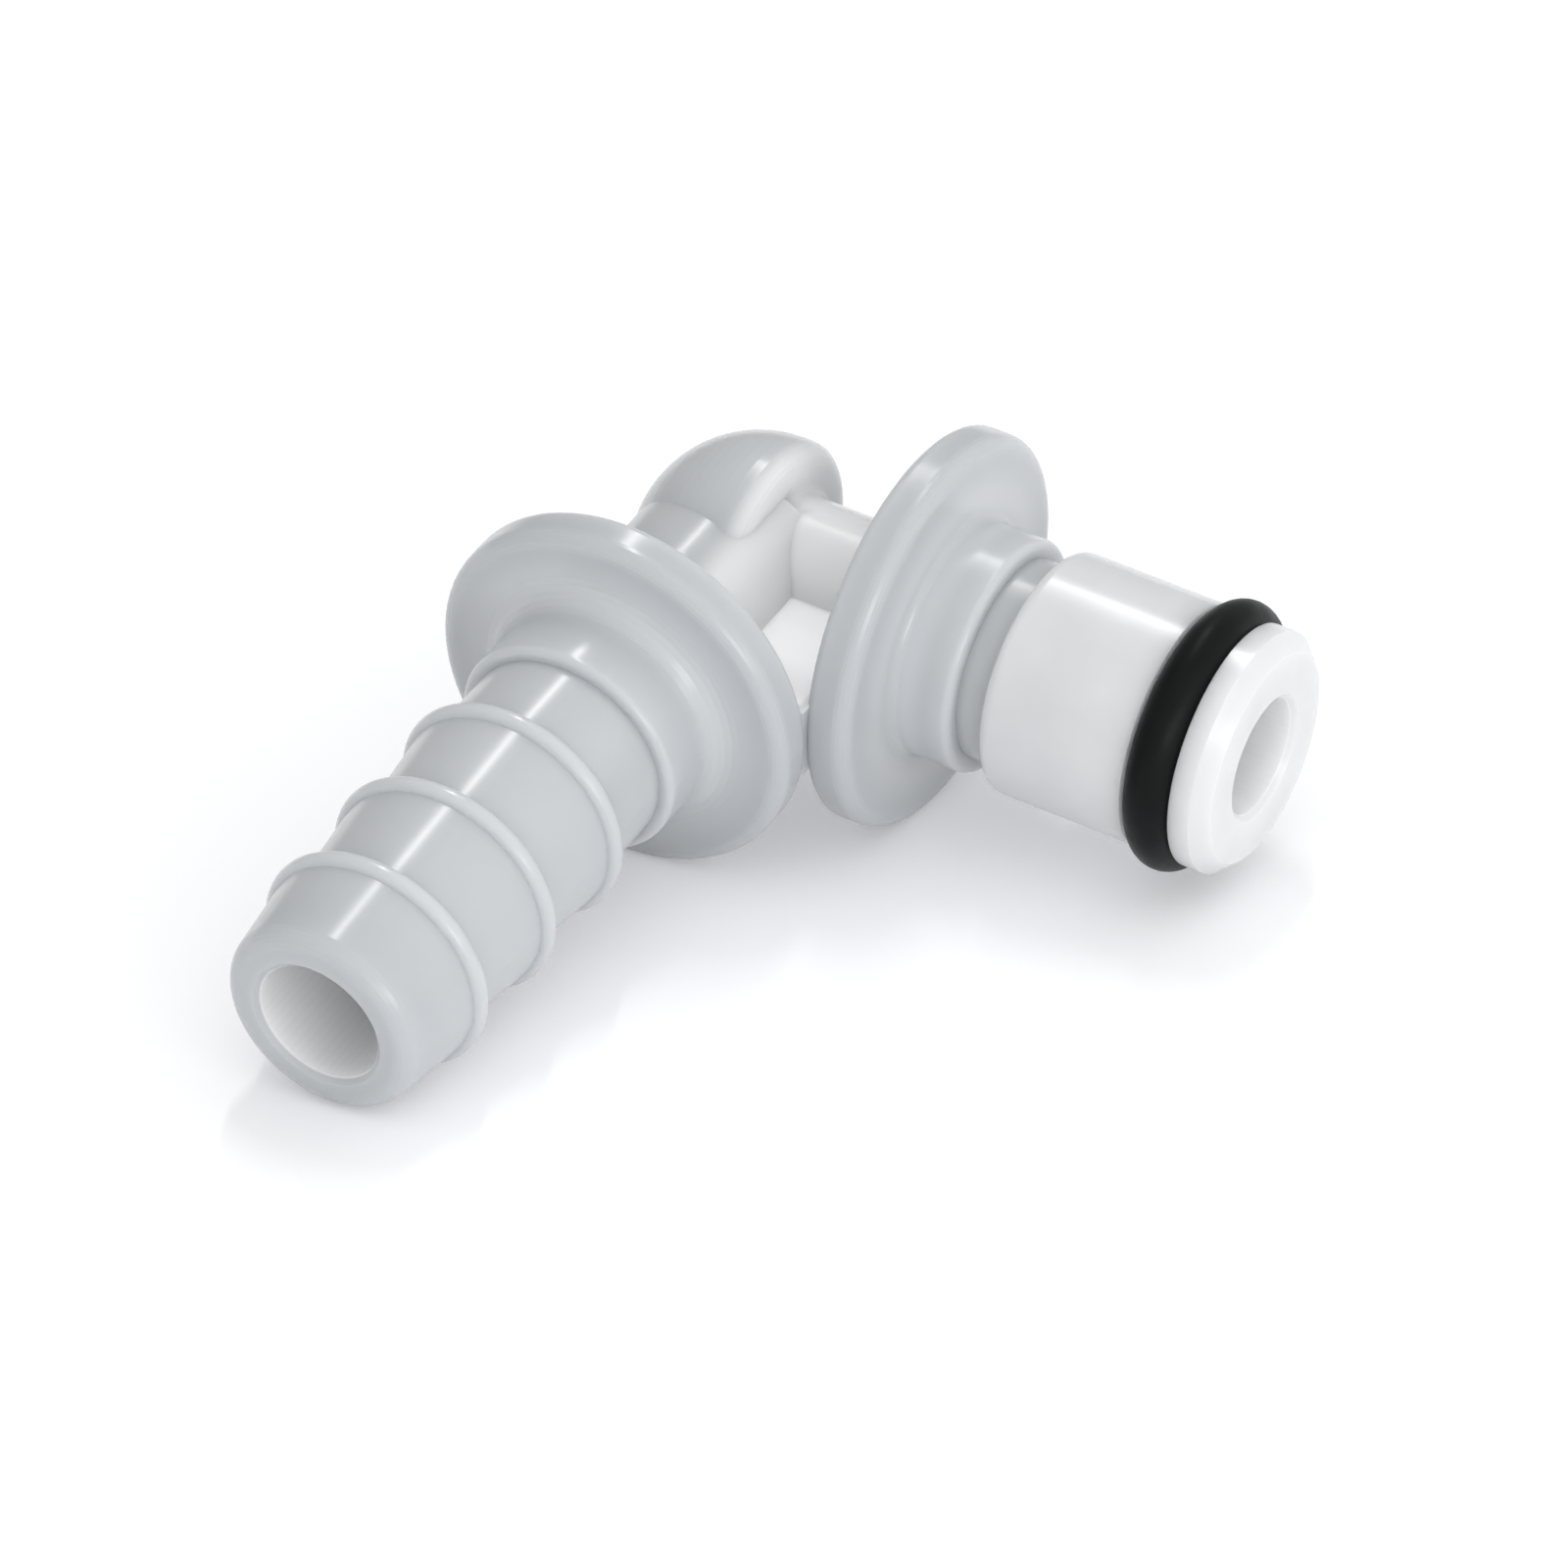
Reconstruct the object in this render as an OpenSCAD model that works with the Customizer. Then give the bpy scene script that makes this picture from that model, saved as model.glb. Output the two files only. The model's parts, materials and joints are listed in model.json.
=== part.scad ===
// Right-angle insert of a plastic quick hose coupling.
// One moulding carries a hose barb, two round flanges, a latch groove and the coupling nose.
// An O-ring sits in a gland near the tip of the nose.
// The two axes cross in the corner. Stations are measured from that crossing, in millimetres.

/* [Nose side] */
// Distance from the corner to the back face of the nose flange
nose_flange_at = 9.4; // [8.5:0.1:12]
// Diameter of the nose flange
nose_flange_d = 20.4; // [19.6:0.1:24]
// Thickness of the nose flange
nose_flange_t = 2.35; // [2:0.05:4]
// Diameter of the collar in front of the nose flange
collar_d = 12.1; // [11.4:0.1:14]
// Length of the collar
collar_l = 3.3; // [2:0.1:6]
// Diameter at the bottom of the latch groove
groove_d = 10.4; // [9:0.1:11]
// Width of the latch groove
groove_w = 1.65; // [1:0.05:3]
// Diameter of the coupling nose
nose_d = 12.5; // [11.6:0.1:14]
// Length of the nose between the latch groove and the O-ring gland
nose_l = 7.95; // [5:0.05:15]
// Length of the plain land in front of the gland
tip_land_l = 1.1; // [0.6:0.1:3]
// Size of the chamfer at the tip of the nose
tip_chamfer = 0.8; // [0.3:0.1:1.2]
// Diameter of the flow bore through the nose
nose_bore_d = 6; // [4.5:0.1:6.6]

/* [O-ring] */
// Inner diameter of the fitted O-ring
o_ring_inner_d = 9; // [8.6:0.1:9.6]
// Section diameter of the O-ring
o_ring_cord = 2.5; // [2.2:0.1:3]
// Clearance between the O-ring and each side wall of its gland
gland_gap = 0.08; // [0.04:0.01:0.2]
// Depth by which the inner side of the O-ring is pressed flat on the gland
ring_flat = 0.05; // [0.02:0.01:0.1]

/* [Barb side] */
// Distance from the corner to the back face of the barb flange
barb_flange_at = 10.3; // [9:0.1:14]
// Diameter of the barb flange
barb_flange_d = 19.5; // [18:0.1:22]
// Thickness of the barb flange
barb_flange_t = 2.35; // [2:0.05:4]
// Diameter of the hub in front of the barb flange
hub_d = 11.9; // [11:0.1:13]
// Length of the hub
hub_l = 4.1; // [2.5:0.1:8]
// Diameter of the shank behind the first barb
shank_d = 10.6; // [10:0.1:11.4]
// Length of the shank
shank_l = 4.3; // [2:0.1:8]
// Diameter over the crests of the barbs
crest_d = 12.24; // [11.8:0.02:13]
// Diameter at the foot of each barb's ramp
barb_root_d = 10.4; // [9.8:0.1:11]
// Distance from one barb to the next
barb_pitch = 6.05; // [4:0.05:8]
// Number of barbs
barb_count = 3; // [2:1:4]
// Distance from the last crest to the end face
barb_tip_l = 5.8; // [4:0.1:8]
// Diameter of the flow bore through the barb
barb_bore_d = 6.5; // [5:0.1:7.4]

/* [Corner] */
// Diameter of the rounded corner
corner_d = 12.9; // [12.2:0.1:14]
// Offset of the rounded corner towards the nose
corner_shift = 0.9; // [0:0.1:1.5]
// Distance from the crossing to the flat face on the nose side of the corner
corner_face_at = 2.3; // [1.6:0.1:4]
// Diameter of the stub between the corner and the barb flange
stub_d = 10.4; // [9.6:0.1:12]
// Diameter of the slender neck between the corner and the nose flange
neck_d = 8; // [7.8:0.1:10]
// Thickness of the web that joins the neck, the stub and the backs of both flanges
web_t = 4; // [2:0.1:6]

/* [Edges] */
// Rounding of the front edge of both flange rims
rim_r = 0.8; // [0.3:0.1:1]
// Rounding of the back edge of both flange rims
rim_back_r = 0.5; // [0.2:0.1:0.8]
// Fillet where the hub meets the barb flange
hub_fillet = 1.4; // [0.4:0.1:1.8]
// Fillet at the other inner corners
small_fillet = 0.6; // [0.2:0.05:0.8]
// Rounding of the edges of the collar and the hub
edge_r = 0.4; // [0.1:0.05:0.5]
// Rounding at the back end of the nose
nose_back_r = 0.6; // [0.2:0.1:0.8]
// Rounding of the barb crests
crest_r = 0.5; // [0.1:0.05:0.7]
// Fillet at the foot of each barb's back face
valley_r = 0.3; // [0.1:0.05:0.6]
// Rounding around the flat face of the corner
corner_edge_r = 1; // [0.2:0.1:1.3]
// Rounding of the barb's end
barb_end_r = 1; // [0.4:0.1:1.3]
// Chamfer at the mouth of both flow bores
mouth_chamfer = 0.3; // [0.1:0.05:0.5]

/* [Hidden] */
$fn = 96;
// Largest turn of one step of a rounding, and of the rounded corner
arc_step = 15;
corner_step = 5;
// How far a cutter runs past the surface it cuts
past = 1;
// How far the web runs into the backs of the flanges
web_bite = 0.2;

// Stations along the nose
nose_flange_front = nose_flange_at + nose_flange_t;
collar_front = nose_flange_front + collar_l;
nose_back = collar_front + groove_w;
gland_back = nose_back + nose_l;
gland_w = o_ring_cord + 2 * gland_gap;
gland_front = gland_back + gland_w;
o_ring_at = gland_back + gland_w / 2;
land_front = gland_front + tip_land_l;
nose_tip = land_front + tip_chamfer;

// Stations along the barb
barb_flange_front = barb_flange_at + barb_flange_t;
hub_front = barb_flange_front + hub_l;
first_crest = hub_front + shank_l;
last_crest = first_crest + (barb_count - 1) * barb_pitch;
barb_tip = last_crest + barb_tip_l;

// Slope of the barbs' ramps, which the last one follows to the end face
ramp_angle = atan((crest_d - barb_root_d) / 2 / barb_pitch);
barb_tip_d = crest_d - 2 * barb_tip_l * tan(ramp_angle);
// Angle up to which a crest is rounded
crest_turn = 90 - ramp_angle;

// Centre radius and inner radius of the fitted O-ring
o_ring_in = o_ring_inner_d / 2;
o_ring_mid = o_ring_in - ring_flat + o_ring_cord / 2;

// Points of an arc in a profile, as [radius, station]
function arc(r, z, rad, from, to, step = arc_step) =
    let (n = ceil(abs(to - from) / step))
    [
        for (i = [0 : n])
            let (a = from + (to - from) * i / n)
            [r + rad * cos(a), z + rad * sin(a)]
    ];

// Outer edge at radius r that ends at station z: back edges face down, front edges face up
function back_edge(r, z, rad) = arc(r - rad, z + rad, rad, -90, 0);
function front_edge(r, z, rad) = arc(r - rad, z - rad, rad, 0, 90);
// Inner corner between a cylinder of radius r and a face at station z
function fillet_before(r, z, rad) = arc(r + rad, z - rad, rad, 180, 90);
function fillet_after(r, z, rad) = arc(r + rad, z + rad, rad, 270, 180);

// The corner is a ball with a flat face. Its rounded edge starts at this angle and distance.
corner_edge_at = corner_face_at - corner_edge_r;
corner_edge_in = corner_d / 2 - corner_edge_r;
corner_reach = asin((corner_edge_at - corner_shift) / corner_edge_in);

nose_profile = concat(
    arc(0, corner_shift, corner_d / 2, -90, corner_reach, corner_step),
    arc(corner_edge_in * cos(corner_reach), corner_edge_at, corner_edge_r, corner_reach + arc_step, 90),
    fillet_after(neck_d / 2, corner_face_at, small_fillet),
    fillet_before(neck_d / 2, nose_flange_at, small_fillet),
    back_edge(nose_flange_d / 2, nose_flange_at, rim_back_r),
    front_edge(nose_flange_d / 2, nose_flange_front, rim_r),
    fillet_after(collar_d / 2, nose_flange_front, small_fillet),
    front_edge(collar_d / 2, collar_front, edge_r),
    [[groove_d / 2, collar_front], [groove_d / 2, nose_back]],
    back_edge(nose_d / 2, nose_back, nose_back_r),
    [[nose_d / 2, gland_back], [o_ring_in, gland_back]],
    [[o_ring_in, gland_front], [nose_d / 2, gland_front]],
    [[nose_d / 2, land_front], [nose_d / 2 - tip_chamfer, nose_tip], [0, nose_tip]]
);

// One barb at station z: a steep back face and a rounded crest. The next point ends its ramp.
function barb(z, foot_r) = concat(
    fillet_before(foot_r, z, valley_r),
    arc(crest_d / 2 - crest_r, z + crest_r, crest_r, -90, crest_turn)
);

barb_profile = concat(
    [[0, 0], [stub_d / 2, 0]],
    fillet_before(stub_d / 2, barb_flange_at, small_fillet),
    back_edge(barb_flange_d / 2, barb_flange_at, rim_back_r),
    front_edge(barb_flange_d / 2, barb_flange_front, rim_r),
    fillet_after(hub_d / 2, barb_flange_front, hub_fillet),
    front_edge(hub_d / 2, hub_front, edge_r),
    [[shank_d / 2, hub_front]],
    [for (i = [0 : barb_count - 1])
        each barb(first_crest + i * barb_pitch, (i > 0 ? barb_root_d : shank_d) / 2)],
    arc(barb_tip_d / 2 - barb_end_r, barb_tip - barb_end_r, barb_end_r, ramp_angle, 90),
    [[0, barb_tip]]
);

// Turns a profile drawn along +Z so that it runs along the nose or along the barb
module along_nose() { rotate([0, 90, 0]) children(); }
module along_barb() { rotate([90, 0, 0]) children(); }

// Resting pose. The part lies on the rims of both flanges and on the barb.
// Each contact is a rounded circle: [station, radius of the circle, rounding].
nose_flange_rim = [nose_flange_front - rim_r, nose_flange_d / 2 - rim_r, rim_r];
barb_flange_rim = [barb_flange_front - rim_r, barb_flange_d / 2 - rim_r, rim_r];
crest_rim = [last_crest + crest_r, crest_d / 2 - crest_r, crest_r];
barb_end_rim = [barb_tip - barb_end_r, barb_tip_d / 2 - barb_end_r, barb_end_r];
ring_rim = [o_ring_at, o_ring_mid, o_ring_cord / 2];
nose_tip_rim = [nose_tip, nose_d / 2 - tip_chamfer, 0];

// Dip of the barb axis that lets two of its circles touch one plane
function barb_dip_on(a, b) =
    asin((a[2] - b[2]) / norm([b[0] - a[0], b[1] - a[1]])) - atan2(b[1] - a[1], b[0] - a[0]);
barb_dip = min(barb_dip_on(barb_flange_rim, crest_rim), barb_dip_on(barb_flange_rim, barb_end_rim));
crossing_h = barb_flange_rim[0] * sin(barb_dip) + barb_flange_rim[1] * cos(barb_dip) + barb_flange_rim[2];
// Dip of the nose axis that lets a circle touch the plane
function nose_dip_on(c) = atan2(c[0], c[1]) - acos((crossing_h - c[2]) / norm([c[0], c[1]]));
nose_dip = min(nose_dip_on(nose_flange_rim), nose_dip_on(ring_rim));
roll = asin(sin(barb_dip) / cos(nose_dip));

// Directions of the two axes in the resting pose
nose_dir = [cos(nose_dip), 0, -sin(nose_dip)];
barb_dir = [-sin(roll) * sin(nose_dip), -cos(roll), -sin(roll) * cos(nose_dip)];
// How far a rounded circle on an axis reaches in one direction
function reach(dir, c, way) = c[0] * (dir * way) + c[1] * sqrt(1 - pow(dir * way, 2)) + c[2];
high_x = reach(nose_dir, nose_tip_rim, [1, 0, 0]);
low_x = -reach(barb_dir, barb_flange_rim, [-1, 0, 0]);
high_y = reach(nose_dir, nose_flange_rim, [0, 1, 0]);
low_y = -reach(barb_dir, barb_end_rim, [0, -1, 0]);

module resting() {
    translate([-(low_x + high_x) / 2, -(low_y + high_y) / 2, crossing_h])
        rotate([roll, nose_dip, 0])
            children();
}

// Web in the inner corner, up to where the rims of the two flanges meet
module inner_web() {
    translate([0, -barb_flange_at - web_bite, -web_t / 2])
        cube([nose_flange_at + web_bite, barb_flange_at + web_bite, web_t]);
}

module flow_bores() {
    // Nose bore, from the tip into the barb bore
    along_nose() cylinder(d = nose_bore_d, h = nose_tip + past);
    along_nose() translate([0, 0, nose_tip - mouth_chamfer])
        cylinder(d1 = nose_bore_d, d2 = nose_bore_d + 2 * (mouth_chamfer + past), h = mouth_chamfer + past);
    // Barb bore, from its end to just past the nose bore
    along_barb() translate([0, 0, -nose_bore_d / 2])
        cylinder(d = barb_bore_d, h = nose_bore_d / 2 + barb_tip + past);
    along_barb() translate([0, 0, barb_tip - mouth_chamfer])
        cylinder(d1 = barb_bore_d, d2 = barb_bore_d + 2 * (mouth_chamfer + past), h = mouth_chamfer + past);
}

module elbow_body() {
    color([0.78, 0.8, 0.82])
        resting()
            difference() {
                union() {
                    along_nose() rotate_extrude() polygon(nose_profile);
                    along_barb() rotate_extrude() polygon(barb_profile);
                    inner_web();
                }
                flow_bores();
            }
}

module o_ring() {
    color([0.09, 0.1, 0.1])
        resting()
            along_nose()
                translate([0, 0, o_ring_at])
                    rotate_extrude()
                        intersection() {
                            translate([o_ring_mid, 0]) circle(d = o_ring_cord);
                            translate([o_ring_in, -o_ring_cord]) square(2 * o_ring_cord);
                        }
}

elbow_body();
o_ring();
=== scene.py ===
# Right-angle plug of a plastic quick hose coupling: milky moulded polypropylene with a black O-ring.
import json
import math

import bpy
from mathutils import Matrix, Vector

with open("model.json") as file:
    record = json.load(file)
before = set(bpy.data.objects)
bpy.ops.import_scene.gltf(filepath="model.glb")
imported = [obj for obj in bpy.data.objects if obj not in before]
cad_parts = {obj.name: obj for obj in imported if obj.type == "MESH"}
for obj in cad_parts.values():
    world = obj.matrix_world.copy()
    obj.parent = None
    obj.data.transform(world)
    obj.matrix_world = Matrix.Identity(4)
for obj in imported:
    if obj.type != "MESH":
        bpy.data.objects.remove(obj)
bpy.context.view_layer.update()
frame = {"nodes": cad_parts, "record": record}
MM = 0.001

# Both axes and their crossing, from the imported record
mounts = {m["name"]: m for m in frame["record"]["mounts"]}
nose_axis = Vector(mounts["coupling_nose"]["axis"]).normalized()
barb_axis = Vector(mounts["hose_barb"]["axis"]).normalized()
NOSE_LENGTH = 29.21 * MM
crossing = Vector(mounts["coupling_nose"]["pos_m"]) - nose_axis * NOSE_LENGTH


def direction(azimuth, elevation):
    a, e = math.radians(azimuth), math.radians(elevation)
    return Vector((math.sin(a) * math.cos(e), -math.cos(a) * math.cos(e), math.sin(e)))


# Camera, at the photograph's viewing angle
CAMERA_AIM = Vector((-5.52, 10.38, 1.78)) * MM
CAMERA_AZIMUTH = 31.38
CAMERA_ELEVATION = 30.25
CAMERA_ROLL = -2.09
CAMERA_DISTANCE = 503.9 * MM
CAMERA_LENS = 235.3
SENSOR_WIDTH = 36


def make_camera():
    back = direction(CAMERA_AZIMUTH, CAMERA_ELEVATION)
    data = bpy.data.cameras.new("camera")
    data.sensor_width = SENSOR_WIDTH
    data.lens = CAMERA_LENS
    data.clip_start = 0.01
    data.clip_end = 20
    camera = bpy.data.objects.new("camera", data)
    bpy.context.scene.collection.objects.link(camera)
    camera.location = CAMERA_AIM + back * CAMERA_DISTANCE
    level = (-back).to_track_quat("-Z", "Y").to_matrix()
    turn = Matrix.Rotation(math.radians(CAMERA_ROLL), 3, "Z")
    camera.rotation_euler = (level @ turn).to_euler()
    bpy.context.scene.camera = camera


# Materials
class Nodes:
    """Node tree of one Principled material, with short helpers for its nodes"""

    def __init__(self, name):
        self.material = bpy.data.materials.new(name)
        self.material.use_nodes = True
        self.tree = self.material.node_tree
        self.tree.nodes.clear()
        output = self.add("ShaderNodeOutputMaterial")
        self.shader = self.add("ShaderNodeBsdfPrincipled")
        self.link(self.shader.outputs[0], output.inputs[0])
        self.place = self.add("ShaderNodeTexCoord").outputs["Object"]

    def add(self, kind):
        return self.tree.nodes.new(kind)

    def link(self, out, into):
        self.tree.links.new(out, into)

    def put(self, value, socket):
        if isinstance(value, bpy.types.NodeSocket):
            self.link(value, socket)
        else:
            socket.default_value = value

    def set(self, **values):
        for name, value in values.items():
            self.put(value, self.shader.inputs[name.replace("_", " ")])

    def math(self, operation, first, second, clamp=False):
        node = self.add("ShaderNodeMath")
        node.operation = operation
        node.use_clamp = clamp
        self.put(first, node.inputs[0])
        self.put(second, node.inputs[1])
        return node.outputs[0]

    def times(self, first, *others):
        for other in others:
            first = self.math("MULTIPLY", first, other)
        return first

    def most(self, first, *others):
        for other in others:
            first = self.math("MAXIMUM", first, other)
        return first

    def least(self, first, second):
        return self.math("MINIMUM", first, second)

    def noise(self, scale, detail=2.0):
        node = self.add("ShaderNodeTexNoise")
        node.inputs["Scale"].default_value = scale
        node.inputs["Detail"].default_value = detail
        self.link(self.place, node.inputs["Vector"])
        return node.outputs[0]

    def span(self, value, low, high, out_low=0.0, out_high=1.0):
        """Value from low..high mapped smoothly to out_low..out_high"""
        node = self.add("ShaderNodeMapRange")
        node.interpolation_type = "SMOOTHSTEP"
        self.put(value, node.inputs["Value"])
        for name, number in zip(("From Min", "From Max", "To Min", "To Max"), (low, high, out_low, out_high)):
            self.put(number, node.inputs[name])
        return node.outputs[0]

    def band(self, value, low, high):
        """1 in the middle of low..high, smoothly down to 0 at both ends"""
        middle = (low + high) / 2
        return self.times(self.span(value, low, middle), self.span(value, high, middle))

    def mix(self, share, first, second):
        node = self.add("ShaderNodeMix")
        node.data_type = "RGBA"
        self.put(share, node.inputs[0])
        self.put(first, node.inputs[6])
        self.put(second, node.inputs[7])
        return node.outputs[2]

    def bump(self, height, strength, distance):
        node = self.add("ShaderNodeBump")
        node.inputs["Strength"].default_value = strength
        node.inputs["Distance"].default_value = distance
        self.link(height, node.inputs["Height"])
        self.set(Normal=node.outputs[0])

    def vector(self, operation, first, second, result="Vector"):
        node = self.add("ShaderNodeVectorMath")
        node.operation = operation
        self.put(first, node.inputs[0])
        self.put(second, node.inputs[1])
        return node.outputs[result]

    def station(self, axis):
        """Distance in mm along an axis of the part, from the crossing"""
        offset = self.vector("SUBTRACT", self.place, crossing)
        return self.times(self.vector("DOT_PRODUCT", offset, axis, "Value"), 1 / MM)

    def radius(self, axis):
        """Distance in mm from an axis of the part"""
        offset = self.vector("SUBTRACT", self.place, crossing)
        across = self.vector("CROSS_PRODUCT", offset, axis)
        return self.times(self.vector("LENGTH", across, (0, 0, 0), "Value"), 1 / MM)


# Colours of the plastic, from dark to light: the darkest is painted shade for the flange rims and the barb's
# end, the two milky ones are the plastic's own tone, and the three lightest are painted light
RIM_SHADE = (0.44, 0.455, 0.47, 1)
MILKY_DARK = (0.480, 0.495, 0.510, 1)
MILKY_LIGHT = (0.510, 0.525, 0.540, 1)
FACE_LIGHT = (0.60, 0.615, 0.63, 1)
PALE_GLOW = (0.74, 0.745, 0.755, 1)
WHITE_GLOW = (0.93, 0.935, 0.94, 1)

# Where each painted light or shade fades in, in mm: stations from the crossing, radii from an axis.
# Where four numbers stand, the last two are the shares at both ends.
NECK_BACK = (1.0, 2.6)
NECK_FRONT = (9.5, 8.5)
NECK_BARB_SIDE = (9.5, 7.0)
NECK_OUTSIDE_STUB = (4.7, 5.5)
NECK_BEHIND_STUB = (0.5, -1.0)
NECK_INNER_SIDE = (-5.0, 0.0, 0.15, 1.0)
NOSE_BACK = (16.3, 16.8)
NOSE_TO_TIP = (17.0, 28.5, 0.55, 0.75)
BARB_BORE_WALL = (3.35, 3.2)
BARB_BORE_END = (-3.4, -3.1)
BARB_END_SHADE = (34.0, 38.9, 0.0, 0.7)
NOSE_BORE_WALL = (3.1, 2.9)
NOSE_BORE_END = (-0.5, 0.0)
RIM_SHADE_RADII = (7.0, 10.2)
WEB_BACK = (4.5, 6.0)
WEB_NOSE_FLANGE = (9.4, 9.0)
WEB_BARB_FLANGE = (10.3, 9.9)

# Bands around the flanges in mm from the crossing, each 1 in its middle, for the painted light on the flange
# faces and the painted shade on the rims
BARB_FACE_BAND = (11.5, 14.5)
NOSE_FACE_BAND = (11.0, 13.8)
BARB_RIM_BAND = (9.5, 16.0)
NOSE_RIM_BAND = (8.6, 15.0)

# How strongly the painted light shows, and how much the nose's painted light is broken into blotches
NECK_GLOW_SHARE = 0.85
BARB_BORE_LIGHT_SHARE = 0.8
NOSE_GLOW_BLOTCHES = 0.6


def milky_plastic():
    n = Nodes("milky_polypropylene")
    along_nose = n.station(nose_axis)
    along_barb = n.station(barb_axis)
    from_barb = n.radius(barb_axis)
    from_nose = n.radius(nose_axis)

    # Painted light: the neck and the nose are painted lighter than the heavy corner, flanges and barb,
    # standing in for the light that comes through their thinner walls; on the nose it is broken into random
    # blotches
    neck_glow = n.times(n.span(along_nose, *NECK_BACK), n.span(along_nose, *NECK_FRONT))
    neck_glow = n.times(neck_glow, n.span(along_barb, *NECK_BARB_SIDE))
    off_stub = n.most(n.span(from_barb, *NECK_OUTSIDE_STUB), n.span(along_barb, *NECK_BEHIND_STUB))
    neck_glow = n.times(neck_glow, off_stub, n.span(along_barb, *NECK_INNER_SIDE), NECK_GLOW_SHARE)
    nose_glow = n.times(n.span(along_nose, *NOSE_TO_TIP), n.span(along_nose, *NOSE_BACK))
    glow_blotches = n.times(n.math("SUBTRACT", n.noise(260), 0.5), NOSE_GLOW_BLOTCHES)
    nose_glow = n.math("ADD", nose_glow, n.times(nose_glow, glow_blotches), clamp=True)

    # Painted light: the walls of both bores and the web between the flanges are painted lighter, standing in
    # for the light that comes through them and lifting their shade
    barb_bore_light = n.times(n.span(from_barb, *BARB_BORE_WALL), n.span(along_barb, *BARB_BORE_END))
    barb_bore_light = n.times(barb_bore_light, BARB_BORE_LIGHT_SHARE)
    nose_bore_light = n.times(n.span(from_nose, *NOSE_BORE_WALL), n.span(along_nose, *NOSE_BORE_END))
    web_light = n.times(
        n.span(n.least(along_nose, along_barb), *WEB_BACK),
        n.span(along_nose, *WEB_NOSE_FLANGE),
        n.span(along_barb, *WEB_BARB_FLANGE),
    )

    # Painted light and shade: the flange faces are painted lighter near their hubs than at their rims, the
    # rims are painted darker, and the barb is painted darker at its end
    face_light = n.most(n.band(along_barb, *BARB_FACE_BAND), n.band(along_nose, *NOSE_FACE_BAND))
    reach = n.most(n.band(along_barb, *BARB_RIM_BAND), n.band(along_nose, *NOSE_RIM_BAND))
    rim_shade = n.times(reach, n.span(n.least(from_barb, from_nose), *RIM_SHADE_RADII))
    barb_end_shade = n.span(along_barb, *BARB_END_SHADE)

    milk_and_painted_light = n.mix(n.noise(150, 3.0), MILKY_DARK, MILKY_LIGHT)
    milk_and_painted_light = n.mix(n.times(face_light, n.math("SUBTRACT", 1.0, rim_shade)), milk_and_painted_light, FACE_LIGHT)
    milk_and_painted_light = n.mix(n.most(rim_shade, barb_end_shade), milk_and_painted_light, RIM_SHADE)
    # Painted light: the web and the nose get the pale tint, and the neck and both bores the white one
    milk_and_painted_light = n.mix(web_light, milk_and_painted_light, PALE_GLOW)
    milk_and_painted_light = n.mix(nose_glow, milk_and_painted_light, PALE_GLOW)
    n.set(
        Base_Color=n.mix(n.most(neck_glow, barb_bore_light, nose_bore_light), milk_and_painted_light, WHITE_GLOW),
        Subsurface_Weight=0.8,
        Subsurface_Radius=(1.0, 1.0, 1.0),
        Subsurface_Scale=3 * MM,
        Roughness=0.22,
    )
    return n.material


RUBBER_DARK = (0.003, 0.004, 0.004, 1)
RUBBER_LIGHT = (0.006, 0.007, 0.007, 1)
RUBBER_GRAIN = 0.03 * MM


def black_rubber():
    n = Nodes("black_rubber")
    n.set(
        Base_Color=n.mix(n.noise(500), RUBBER_DARK, RUBBER_LIGHT),
        Roughness=n.span(n.noise(900), 0.3, 0.7, 0.36, 0.44),
        Specular_IOR_Level=0.1,
    )
    n.bump(n.noise(4000), strength=0.1, distance=RUBBER_GRAIN)
    return n.material


FLOOR_DARK = (0.855, 0.855, 0.87, 1)
FLOOR_LIGHT = (0.865, 0.865, 0.88, 1)
FLOOR_LIFT = (0.95, 0.96, 1, 1)
FLOOR_LIFT_STRENGTH = 0.2
FLOOR_SIZE = 6


def pale_paper():
    n = Nodes("pale_floor")
    # What lifts the floor to white is seen by the camera and in reflections, and lights nothing
    ray = n.add("ShaderNodeLightPath").outputs
    seen = n.most(ray["Is Camera Ray"], ray["Is Glossy Ray"], ray["Is Transmission Ray"])
    n.set(
        Base_Color=n.mix(n.noise(3), FLOOR_DARK, FLOOR_LIGHT),
        Roughness=0.8,
        Specular_IOR_Level=0.1,
        Emission_Color=FLOOR_LIFT,
        Emission_Strength=n.times(seen, FLOOR_LIFT_STRENGTH),
    )
    return n.material


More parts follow.
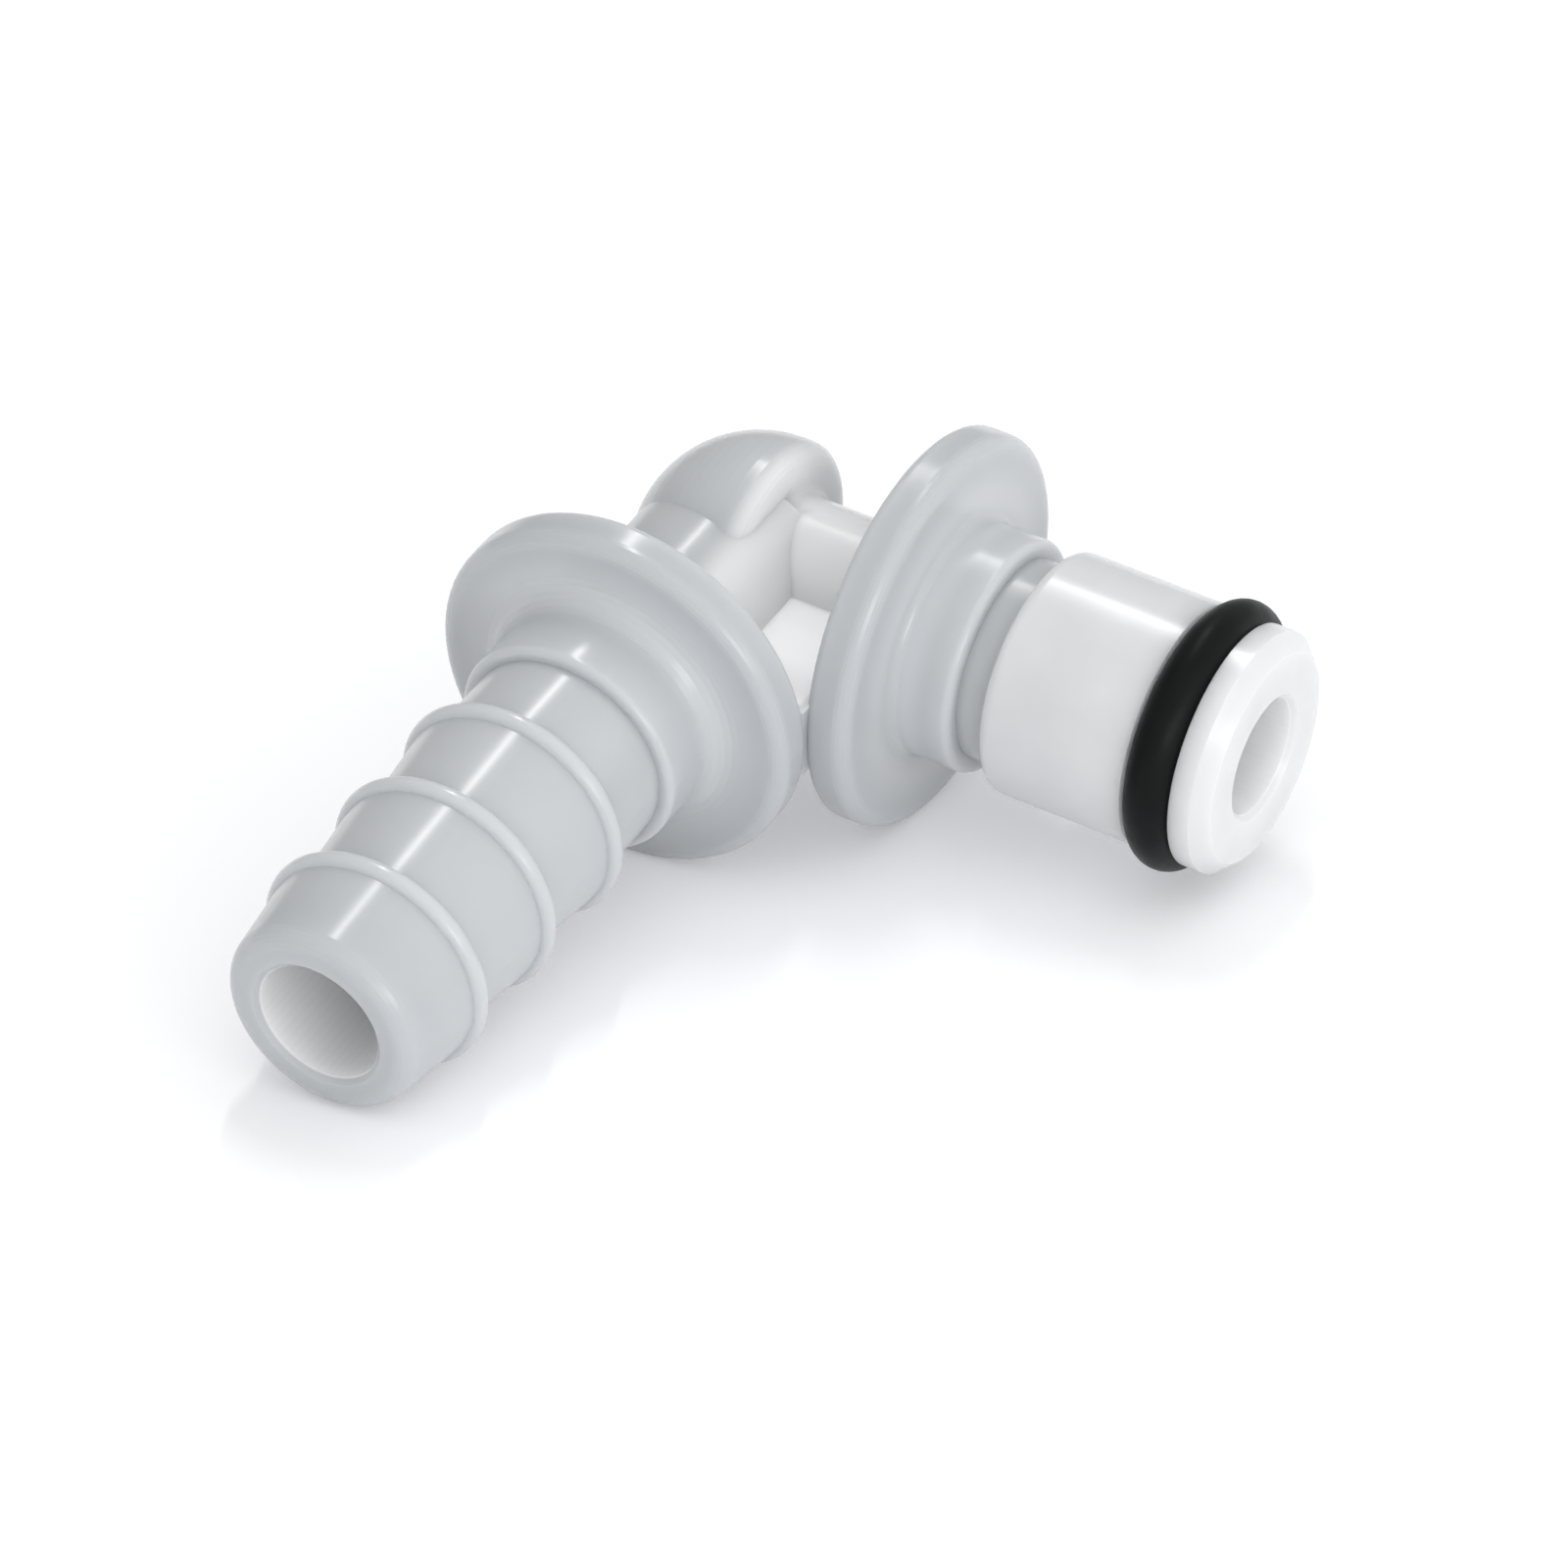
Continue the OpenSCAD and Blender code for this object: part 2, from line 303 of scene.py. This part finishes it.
def dress(node, material):
    for slot in frame["nodes"][node].material_slots:
        slot.material = material


# Studio
def make_floor():
    bpy.ops.mesh.primitive_plane_add(size=FLOOR_SIZE)
    floor = bpy.context.object
    floor.name = "floor"
    floor.data.materials.append(pale_paper())


# The room is brighter on the camera's right than on its left
BRIGHT_SIDE = direction(65, -5)
ROOM_DIMMEST = 0.42
ROOM_BRIGHTEST = 1.34


def make_room():
    world = bpy.data.worlds.new("studio")
    bpy.context.scene.world = world
    world.use_nodes = True
    tree = world.node_tree
    background = tree.nodes["Background"]
    background.inputs["Color"].default_value = (1, 1, 1, 1)
    where = tree.nodes.new("ShaderNodeTexCoord")
    side = tree.nodes.new("ShaderNodeVectorMath")
    side.operation = "DOT_PRODUCT"
    side.inputs[1].default_value = BRIGHT_SIDE
    strength = tree.nodes.new("ShaderNodeMapRange")
    strength.inputs["From Min"].default_value = -1
    strength.inputs["From Max"].default_value = 1
    strength.inputs["To Min"].default_value = ROOM_DIMMEST
    strength.inputs["To Max"].default_value = ROOM_BRIGHTEST
    tree.links.new(where.outputs["Generated"], side.inputs[0])
    tree.links.new(side.outputs["Value"], strength.inputs["Value"])
    tree.links.new(strength.outputs[0], background.inputs["Strength"])


def soft_light(name, azimuth, elevation, distance, width, length, power):
    """Rectangular light that faces the part, with its length up and down"""
    data = bpy.data.lights.new(name, "AREA")
    data.shape = "RECTANGLE"
    data.size = width
    data.size_y = length
    data.energy = power
    lamp = bpy.data.objects.new(name, data)
    bpy.context.scene.collection.objects.link(lamp)
    back = direction(azimuth, elevation)
    lamp.location = back * distance
    lamp.rotation_euler = (-back).to_track_quat("-Z", "Y").to_euler()


make_camera()
dress("elbow_body", milky_plastic())
dress("o_ring", black_rubber())
make_floor()
make_room()
# A low fill for the sides that face the camera, and a strip that draws the line along the barb
soft_light("fill", azimuth=60, elevation=11, distance=1.2, width=1.0, length=0.36, power=3.6)
soft_light("strip", azimuth=-157, elevation=66, distance=1.0, width=0.02, length=0.42, power=1.7)
bpy.context.scene.view_settings.view_transform = "Standard"
